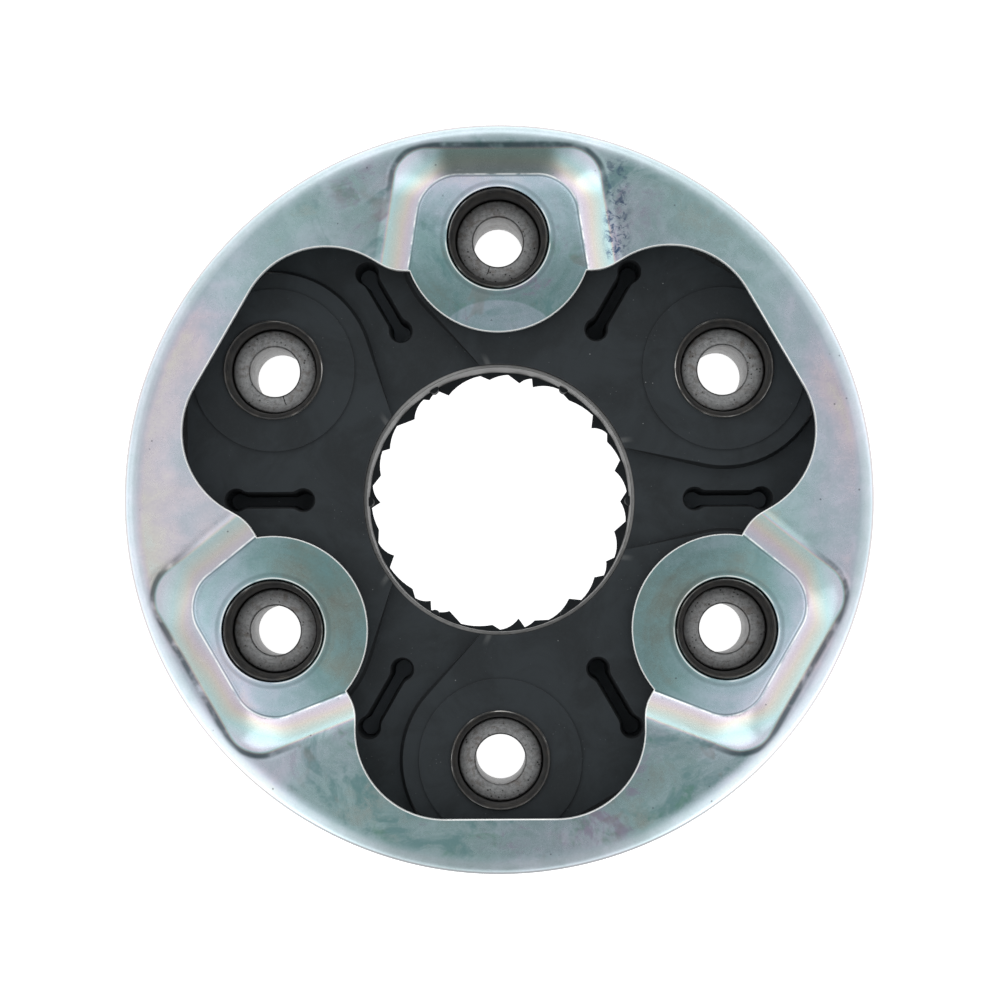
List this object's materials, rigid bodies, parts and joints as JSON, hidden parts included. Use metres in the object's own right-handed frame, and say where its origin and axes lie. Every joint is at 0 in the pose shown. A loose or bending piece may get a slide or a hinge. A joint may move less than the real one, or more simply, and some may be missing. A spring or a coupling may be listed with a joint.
{
  "type": "flexible driveshaft coupling",
  "caption": "Flexible rubber disc coupling for a driveshaft, with bushed bolt holes on a circle and a pressed steel ring plate.",
  "frame": {"origin": "on the shaft axis at the level of the rear collars' ends", "axes": "+Z along the shaft axis towards the plate side, +Y through the middle of a plate lobe"},
  "size_m": [0.15, 0.15, 0.043],
  "materials": {
    "rubber": "moulded, matt",
    "plate": "zinc plated, clear passivated",
    "sleeve": "plain drawn steel",
    "bush": "turned",
    "collar": "phosphated",
    "cord": "rubbered polyester cord"
  },
  "bodies": {
    "root": {"rubber_body": "rubber", "ring_plate": "plate", "centre_sleeve": "sleeve", "bush_1": "bush", "front_collar_1": "collar", "rear_collar_1": "collar", "bush_2": "bush", "front_collar_2": "collar", "rear_collar_2": "collar", "bush_3": "bush", "front_collar_3": "collar", "rear_collar_3": "collar", "bush_4": "bush", "front_collar_4": "collar", "rear_collar_4": "collar", "bush_5": "bush", "front_collar_5": "collar", "rear_collar_5": "collar", "bush_6": "bush", "front_collar_6": "collar", "rear_collar_6": "collar", "drive_loop_1": "cord", "coast_loop_front_1": "cord", "coast_loop_rear_1": "cord", "drive_loop_2": "cord", "coast_loop_front_2": "cord", "coast_loop_rear_2": "cord", "drive_loop_3": "cord", "coast_loop_front_3": "cord", "coast_loop_rear_3": "cord"}
  },
  "joints": []
}
